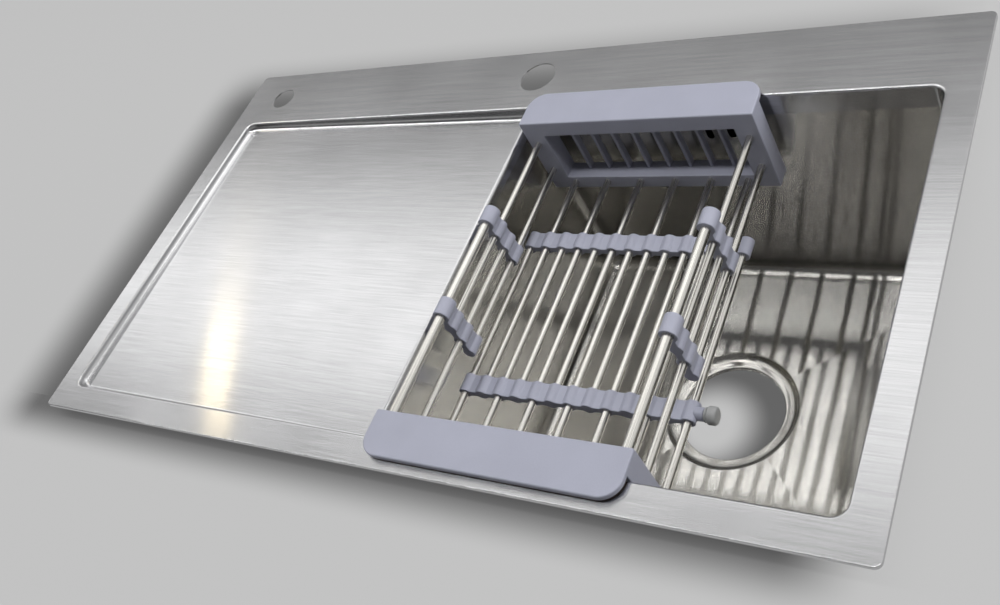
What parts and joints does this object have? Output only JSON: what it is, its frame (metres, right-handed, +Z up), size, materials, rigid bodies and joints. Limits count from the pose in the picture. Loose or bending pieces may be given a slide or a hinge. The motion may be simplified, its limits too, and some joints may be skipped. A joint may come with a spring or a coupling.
{
  "type": "inset kitchen sink",
  "caption": "Inset stainless kitchen sink with a deep bowl, a pressed drainer, a tap ledge and an extending wire drain basket that slides along the bowl.",
  "frame": {"origin": "middle of the rim's outline, on the worktop's surface under the rim seal", "axes": "+X along the rim from the drainer to the bowl, +Y to the tap ledge at the back, +Z up"},
  "size_m": [0.75, 0.43, 0.237],
  "materials": {
    "brushed_stainless": "satin brushed along the rim",
    "polished_stainless": "polished drawn rod",
    "grey_plastic": "fine moulded texture",
    "knob_plastic": "moulded",
    "black_plastic": "moulded",
    "grip_rubber": "matt",
    "foam_seal": "closed-cell foam",
    "bitumen_pad": "matt",
    "folded_steel": "mill",
    "zinc_steel": "zinc plated"
  },
  "bodies": {
    "sink": {"deck": "brushed_stainless", "bowl": "brushed_stainless", "overflow_box": "black_plastic", "rim_seal": "foam_seal", "sound_pad_front": "bitumen_pad", "sound_pad_back": "bitumen_pad", "sound_pad_left": "bitumen_pad", "sound_pad_right": "bitumen_pad", "drainer_rail_front": "folded_steel", "drainer_rail_back": "folded_steel", "clip_blocks": "zinc_steel", "clip_screws": "zinc_steel"},
    "basket_back": {"back_end_plate": "grey_plastic", "back_flange_pad": "grip_rubber", "front_strip": "grey_plastic", "front_left_clip": "grey_plastic", "front_right_clip": "grey_plastic", "back_rod_bottom_1": "polished_stainless", "back_rod_bottom_2": "polished_stainless", "back_rod_bottom_3": "polished_stainless", "back_rod_bottom_4": "polished_stainless", "back_rod_bottom_5": "polished_stainless", "back_rod_bottom_6": "polished_stainless", "back_rod_left_1": "polished_stainless", "back_rod_left_2": "polished_stainless", "back_rod_right_1": "polished_stainless", "back_rod_right_2": "polished_stainless"},
    "basket_front": {"front_end_plate": "grey_plastic", "front_flange_pad": "grip_rubber", "back_strip": "grey_plastic", "back_left_clip": "grey_plastic", "back_right_clip": "grey_plastic", "front_rod_bottom_1": "polished_stainless", "front_rod_bottom_2": "polished_stainless", "front_rod_bottom_3": "polished_stainless", "front_rod_bottom_4": "polished_stainless", "front_rod_bottom_5": "polished_stainless", "front_rod_bottom_6": "polished_stainless", "front_rod_bottom_7": "polished_stainless", "front_rod_left_1": "polished_stainless", "front_rod_left_2": "polished_stainless", "front_rod_right_1": "polished_stainless", "front_rod_right_2": "polished_stainless"},
    "lock_knob": {"lock_knob": "knob_plastic"},
    "clip_arm_1": {"clip_arm_1": "zinc_steel"},
    "clip_arm_2": {"clip_arm_2": "zinc_steel"},
    "clip_arm_3": {"clip_arm_3": "zinc_steel"},
    "clip_arm_4": {"clip_arm_4": "zinc_steel"},
    "clip_arm_5": {"clip_arm_5": "zinc_steel"},
    "clip_arm_6": {"clip_arm_6": "zinc_steel"}
  },
  "joints": [
    {"name": "basket_slide", "type": "slide", "parent": "sink", "child": "basket_back", "axis": [1, 0, 0], "range_m": [-0.002, 0.118]},
    {"name": "basket_close", "type": "slide", "parent": "basket_back", "child": "basket_front", "axis": [0, 1, 0], "range_m": [0, 0.055]},
    {"name": "knob_turn", "type": "hinge", "parent": "basket_back", "child": "lock_knob", "pos_m": [0.211, -0.101, -0.066], "axis": [1, 0, 0], "range_deg": [0, 180]},
    {"name": "clip_swing_1", "type": "hinge", "parent": "sink", "child": "clip_arm_1", "pos_m": [-0.22, -0.19765, -0.044], "axis": [0, 0, -1], "range_deg": [0, 90]},
    {"name": "clip_swing_2", "type": "hinge", "parent": "sink", "child": "clip_arm_2", "pos_m": [0.22, -0.19765, -0.044], "axis": [0, 0, -1], "range_deg": [0, 90]},
    {"name": "clip_swing_3", "type": "hinge", "parent": "sink", "child": "clip_arm_3", "pos_m": [-0.22, 0.19765, -0.044], "axis": [0, 0, 1], "range_deg": [0, 90]},
    {"name": "clip_swing_4", "type": "hinge", "parent": "sink", "child": "clip_arm_4", "pos_m": [0.22, 0.19765, -0.044], "axis": [0, 0, 1], "range_deg": [0, 90]},
    {"name": "clip_swing_5", "type": "hinge", "parent": "sink", "child": "clip_arm_5", "pos_m": [-0.35815, -0.0245, -0.044], "axis": [0, 0, 1], "range_deg": [0, 90]},
    {"name": "clip_swing_6", "type": "hinge", "parent": "sink", "child": "clip_arm_6", "pos_m": [0.35815, -0.0245, -0.044], "axis": [0, 0, -1], "range_deg": [0, 90]}
  ]
}
